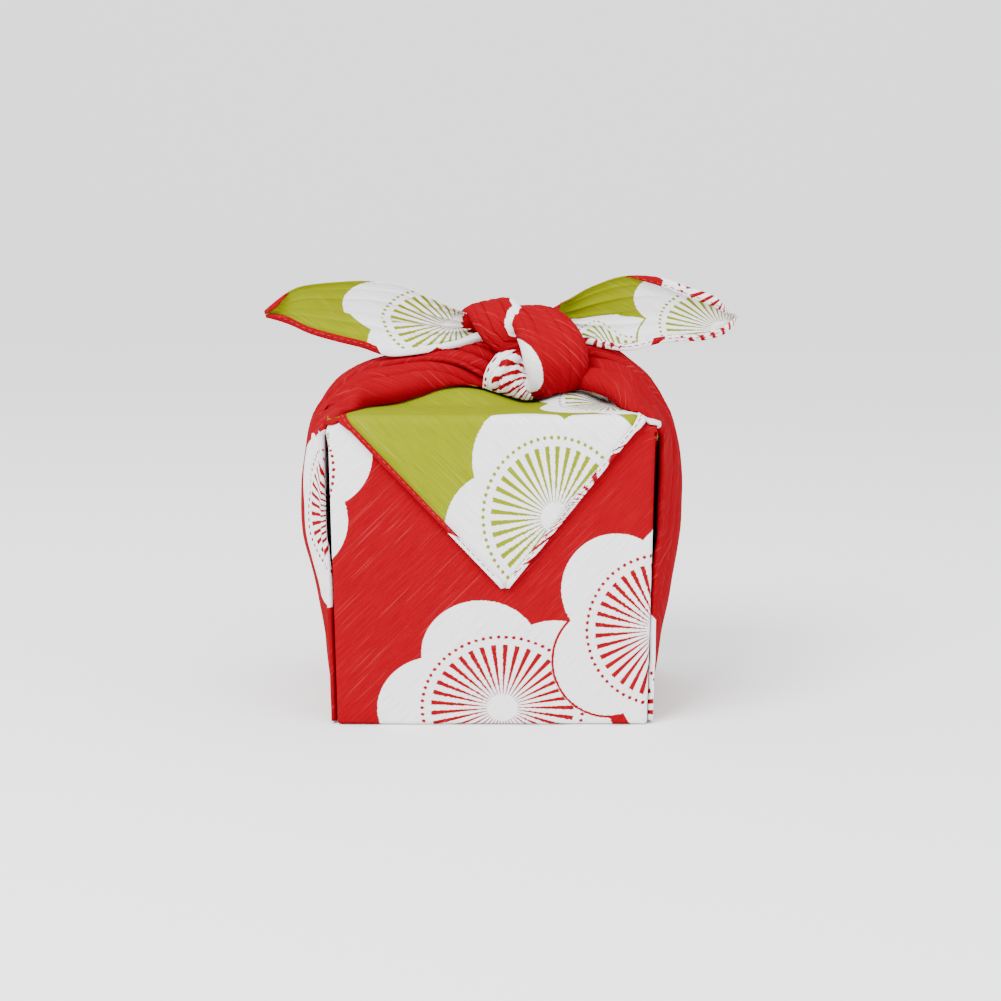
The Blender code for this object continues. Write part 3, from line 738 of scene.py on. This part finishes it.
cotton = {
    "thread": 0.46,  # pitch of the plain weave
    "red": (0.255, 0.0, 0.006),
    "green": (0.205, 0.235, 0.002),
    "white": (0.90, 0.88, 0.90),
    "redSlub": (0.55, 0.06, 0.07),
    "greenSlub": (0.42, 0.46, 0.09),
    "whiteSlub": (0.97, 0.96, 0.97),
    "slub": (1.6, 0.03, 3.0),  # fineness across and along the thread, and seed
    "slubLimit": 0.36,
    "slubShow": 0.23,
    "yarn": (2.4, 0.1, 21.0),
    "dark": 0.12,
    "weaveDark": 0.10,
    "bump": 0.35,
    "bumpDistance": 0.00012,
    "rough": 0.86,
    "specular": 0.02,
}


def cottonMaterial(name, ground, groundSlub, blossoms):
    material = bpy.data.materials.new(name)
    material.use_nodes = True
    tree = material.node_tree
    shader = tree.nodes["Principled BSDF"]
    start = Wire(tree, None)
    flat = start.node("ShaderNodeUVMap", {"uv_map": "flatCloth"})
    apart = start.node("ShaderNodeSeparateXYZ", None, {0: flat}).socket.node
    p, q = Wire(tree, apart.outputs[0]) * 1000.0, Wire(tree, apart.outputs[1]) * 1000.0
    scaled = start.node("ShaderNodeVectorMath", {"operation": "SCALE"}, {0: flat, "Scale": 1000.0})
    grain = {"Vector": scaled, "Scale": 1.3, "Detail": 1.0}
    shake = start.node("ShaderNodeTexNoise", {"noise_dimensions": "2D"}, grain)
    jitter = (shake - 0.5) * blossom["shake"]
    printP, printQ = p + jitter, q - jitter
    white, x, y = petalsOf(printP, printQ, blossoms[0])[1:]
    for flower in blossoms[1:]:
        halo, petals, ownX, ownY = petalsOf(printP, printQ, flower)
        white = white * (1 - halo) + petals
        x, y = x + halo * (ownX - x), y + halo * (ownY - y)
    white = white * (1 - inkOf(x, y))
    # Warp and weft run along the square's sides, at 45 degrees to the map.
    root = math.sqrt(0.5)
    warp, weft = (p + q) * root, (p - q) * root
    pitch = 2 * math.pi / cotton["thread"]
    threadA, threadB = (warp * pitch).maths("SINE"), (weft * pitch).maths("SINE")
    weave = threadA * threadB

    def streaks(fine, long, fineScale, longScale, seed):
        spot = start.node("ShaderNodeCombineXYZ", None, {0: fine * fineScale, 1: long * longScale, 2: seed})
        grain = {"Vector": spot, "Scale": 1.0, "Detail": 2.0}
        return start.node("ShaderNodeTexNoise", {"noise_dimensions": "3D"}, grain)

    slub = streaks(warp, weft, *cotton["slub"]).mask(cotton["slubLimit"], 0.05)
    yarn = streaks(warp, weft, *cotton["yarn"])

    def blend(factor, first, second):
        settings = {"data_type": "RGBA"}
        made = start.node("ShaderNodeMix", settings).socket.node
        for key, value in (("Factor_Float", factor), ("A_Color", first), ("B_Color", second)):
            socket = next(s for s in made.inputs if s.identifier == key)
            if isinstance(value, Wire):
                tree.links.new(value.socket, socket)
            else:
                socket.default_value = value if key == "Factor_Float" else (*value, 1)
        return Wire(tree, next(s for s in made.outputs if s.identifier == "Result_Color"))

    plain = blend(white, ground, cotton["white"])
    slubbed = blend(white, groundSlub, cotton["whiteSlub"])
    colour = blend(slub * cotton["slubShow"], plain, slubbed)
    darker = blend((yarn - 0.5) * 0.5 + cotton["dark"], colour, (0.0, 0.0, 0.0))
    shade = blend((weave * 0.5 + 0.5) * cotton["weaveDark"], darker, (0.0, 0.0, 0.0))
    tree.links.new(shade.socket, shader.inputs["Base Color"])
    height = weave * 0.35 + slub * 0.9 + (yarn - 0.5) * 0.6
    relief = {"Strength": cotton["bump"], "Distance": cotton["bumpDistance"], "Height": height}
    bump = start.node("ShaderNodeBump", None, relief)
    tree.links.new(bump.socket, shader.inputs["Normal"])
    rough = cotton["rough"] - slub * 0.08
    tree.links.new(rough.socket, shader.inputs["Roughness"])
    shader.inputs["Specular IOR Level"].default_value = cotton["specular"]
    return material


stitching = {  # the running stitch on the hems that show
    "pitch": 2.3,
    "long": 1.5,
    "thread": 0.14,
    "sides": 6,
    "lift": 0.3,
    "seed": 4,
    "stretch": ((0.9, 0.9, 0.75), (1.1, 1.1, 1.05)),  # least and most, along the stitch last
    "colour": (0.30, 0.0, 0.01),
    "rough": 0.7,
}
# Each seam: the grid, its column, and the share of its rows, from and to, that it runs along.
seams = (
    ("flap", 1, 0.05, 0.97),
    ("flap", -2, 0.05, 0.97),
    ("leftCorner", len(tuckPlaces) - 5, 0.86, 0.985),
    ("rightCorner", len(tuckPlaces) - 5, 0.84, 0.985),
    ("rightCorner", 4 - len(tuckPlaces), 0.89, 0.985),
)


def stitchNodes(thread):
    group = bpy.data.node_groups.new("hemStitches", "GeometryNodeTree")
    group.interface.new_socket("Geometry", in_out="INPUT", socket_type="NodeSocketGeometry")
    keys = {}
    for key, kind in (("Pitch", "Float"), ("Length", "Float"), ("Thread", "Float"), ("Seed", "Int")):
        keys[key] = group.interface.new_socket(key, in_out="INPUT", socket_type="NodeSocket" + kind).identifier
    group.interface.new_socket("Geometry", in_out="OUTPUT", socket_type="NodeSocketGeometry")

    def add(kind, settings=None, **values):
        node = group.nodes.new(kind)
        for key, value in (settings or {}).items():
            setattr(node, key, value)
        for key, value in values.items():
            socket = node.inputs[key]
            if isinstance(value, bpy.types.NodeSocket):
                group.links.new(value, socket)
            else:
                socket.default_value = value
        return node.outputs

    given = add("NodeGroupInput")
    curve = add("GeometryNodeMeshToCurve", Mesh=given["Geometry"])[0]
    spaced = add("GeometryNodeResampleCurve", {"mode": "LENGTH"}, Curve=curve, Length=given["Pitch"])[0]
    sides = stitching["sides"]
    stitch = add("GeometryNodeMeshCylinder", Vertices=sides, Radius=given["Thread"], Depth=given["Length"])["Mesh"]
    tangent = add("GeometryNodeInputTangent")[0]
    along = add("FunctionNodeAlignRotationToVector", {"axis": "Z"}, Vector=tangent)[0]
    stretch = add("FunctionNodeRandomValue", {"data_type": "FLOAT_VECTOR"}, Seed=given["Seed"])[0]
    limits = stretch.node.inputs
    limits["Min"].default_value, limits["Max"].default_value = stitching["stretch"]
    placed = add("GeometryNodeInstanceOnPoints", Points=spaced, Instance=stitch, Rotation=along, Scale=stretch)[0]
    whole = add("GeometryNodeRealizeInstances", Geometry=placed)[0]
    painted = add("GeometryNodeSetMaterial", Geometry=whole, Material=thread)[0]
    group.links.new(painted, group.nodes.new("NodeGroupOutput").inputs["Geometry"])
    return group, keys


def makeStitches(flapRows):
    points, edges = [], []
    grids = {name: (grid, red) for name, grid, _, red in clothParts}
    grids["flap"] = (grids["strip"][0][:flapRows], grids["strip"][1])
    for name, column, first, last in seams:
        grid, red = grids[name]
        normal = gridNormals(grid) * red
        chosen = slice(round(first * len(grid)), round(last * len(grid)))
        line = grid[chosen, column] + normal[chosen, column] * stitching["lift"]
        edges += [(len(points) + k, len(points) + k + 1) for k in range(len(line) - 1)]
        points += [tuple(point * mm) for point in line]
    mesh = bpy.data.meshes.new("seamLines")
    mesh.from_pydata(points, edges, [])
    lines = bpy.data.objects.new("seamLines", mesh)
    bpy.context.scene.collection.objects.link(lines)
    thread = bpy.data.materials.new("redThread")
    thread.use_nodes = True
    shader = thread.node_tree.nodes["Principled BSDF"]
    shader.inputs["Base Color"].default_value = (*stitching["colour"], 1)
    shader.inputs["Roughness"].default_value = stitching["rough"]
    group, keys = stitchNodes(thread)
    change = lines.modifiers.new("stitches", "NODES")
    change.node_group = group
    for key, value in (
        ("Pitch", stitching["pitch"] * mm),
        ("Length", stitching["long"] * mm),
        ("Thread", stitching["thread"] * mm),
        ("Seed", stitching["seed"]),
    ):
        change[keys[key]] = value
    evaluated = lines.evaluated_get(bpy.context.evaluated_depsgraph_get())
    made = bpy.data.meshes.new_from_object(evaluated)
    made.name = "hemStitches"
    stitches = bpy.data.objects.new("hemStitches", made)
    bpy.context.scene.collection.objects.link(stitches)
    bpy.data.objects.remove(lines, do_unlink=True)
    made.shade_smooth()
    print("stage: stitches", len(made.polygons), "faces")
    return stitches


stage = {  # the floor, light and camera
    "floor": (0.90, 0.90, 0.90),
    "floorSize": 6.0,
    "sweepFrom": 1.6,  # the floor curves up into a wall behind
    "sweep": 1.5,
    "world": 1.9,
    "elevation": 9.0,
    "distance": 750.0,
    "target": (2.79, 0.0, 67.5),
    "lens": 77.02,
    "sensor": 36.0,
    "nearest": 0.01,
    "lightsAim": (0, 0, 0.07),
}
lights = (  # each with its place and size in metres, and its power
    ("keyLight", (-0.55, -0.75, 0.95), 0.7, 27.0),
    ("fillLight", (0.9, -0.8, 0.5), 0.8, 8.0),
)


def makeStage():
    mesh = bpy.data.meshes.new("paleFloor")
    size, radius = stage["floorSize"], stage["sweep"]
    profile = [(-size, 0.0)]
    for step in range(17):
        angle = math.pi / 2 * step / 16
        profile.append((stage["sweepFrom"] + radius * math.sin(angle), radius * (1 - math.cos(angle))))
    profile.append((stage["sweepFrom"] + radius, size))
    points = [(x, y, z) for y, z in profile for x in (-size, size)]
    mesh.from_pydata(points, [], [(2 * k, 2 * k + 1, 2 * k + 3, 2 * k + 2) for k in range(len(profile) - 1)])
    mesh.shade_smooth()
    floor = bpy.data.objects.new("paleFloor", mesh)
    bpy.context.scene.collection.objects.link(floor)
    floor.location.z = -0.0002
    material = bpy.data.materials.new("palePaper")
    material.use_nodes = True
    shader = material.node_tree.nodes["Principled BSDF"]
    shader.inputs["Base Color"].default_value = (*stage["floor"], 1)
    shader.inputs["Roughness"].default_value = 0.9
    mesh.materials.append(material)
    world = bpy.data.worlds.new("softRoom")
    bpy.context.scene.world = world
    world.use_nodes = True
    world.node_tree.nodes["Background"].inputs["Color"].default_value = (1.0, 1.0, 1.0, 1)
    world.node_tree.nodes["Background"].inputs["Strength"].default_value = stage["world"]
    aim = Vector(stage["lightsAim"])
    for name, place, size, power in lights:
        light = bpy.data.lights.new(name, "AREA")
        light.energy = power
        light.size = size
        lamp = bpy.data.objects.new(name, light)
        lamp.location = place
        lamp.rotation_euler = (aim - Vector(place)).to_track_quat("-Z", "Y").to_euler()
        bpy.context.scene.collection.objects.link(lamp)
    camera = bpy.data.cameras.new("camera")
    camera.lens = stage["lens"]
    camera.sensor_width = stage["sensor"]
    camera.clip_start = stage["nearest"]
    eye = bpy.data.objects.new("camera", camera)
    raised = math.radians(stage["elevation"])
    target = Vector(stage["target"]) * mm
    eye.location = target + Vector((0, -math.cos(raised), math.sin(raised))) * stage["distance"] * mm
    eye.rotation_euler = (target - eye.location).to_track_quat("-Z", "Y").to_euler()
    bpy.context.scene.collection.objects.link(eye)
    bpy.context.scene.camera = eye


def main():
    makeStage()
    flapRows = makeStrip()
    makeRun("leftCorner", leftRun, -1)
    makeRun("rightCorner", rightRun, 1)
    cloth = makeCloth()
    for name, colour, blossoms in (("redPrint", "red", redBlossoms), ("greenPrint", "green", greenBlossoms)):
        cloth.data.materials.append(cottonMaterial(name, cotton[colour], cotton[colour + "Slub"], blossoms))
    area = sum(polygon.area for polygon in cloth.data.polygons) / 2
    print("stage: cloth area", round(area, 4), "of 0.25 square metres")
    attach(cloth, "root")
    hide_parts("wrap_cloth")
    stitches = makeStitches(flapRows)
    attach(stitches, "root")
    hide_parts("wrap_cloth")


main()
